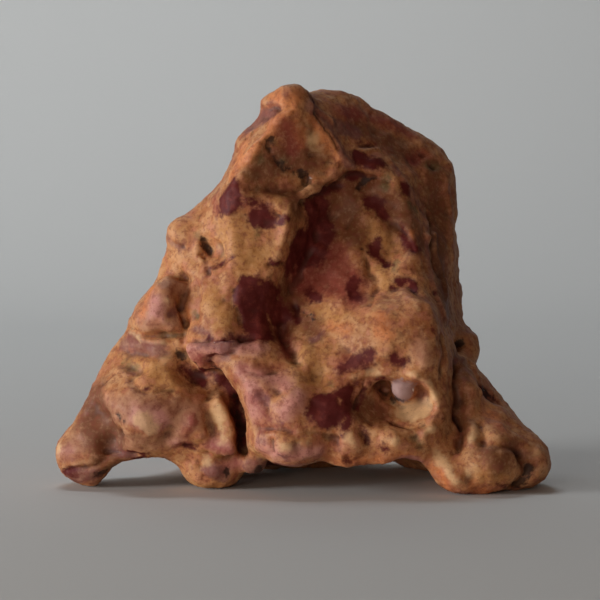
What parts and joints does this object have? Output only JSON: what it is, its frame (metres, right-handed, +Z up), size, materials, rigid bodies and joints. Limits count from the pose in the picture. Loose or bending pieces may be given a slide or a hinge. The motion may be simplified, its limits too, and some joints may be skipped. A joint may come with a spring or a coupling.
{
  "type": "rough agate",
  "caption": "Wind-worn rough agate: an upright lumpy stone like a small mountain, standing on its own worn feet.",
  "frame": {"origin": "on the surface the stone stands on, under the middle of its bounding box", "axes": "+X along the stone's longest extent, towards its right foot; the weathered show face looks along -Y; +Z up"},
  "size_m": [0.082, 0.05, 0.0659],
  "materials": {
    "agate": "waxy wind-polished stone, tan and ochre with maroon and pink blotches"
  },
  "bodies": {
    "root": {"agate": "agate"}
  },
  "joints": []
}
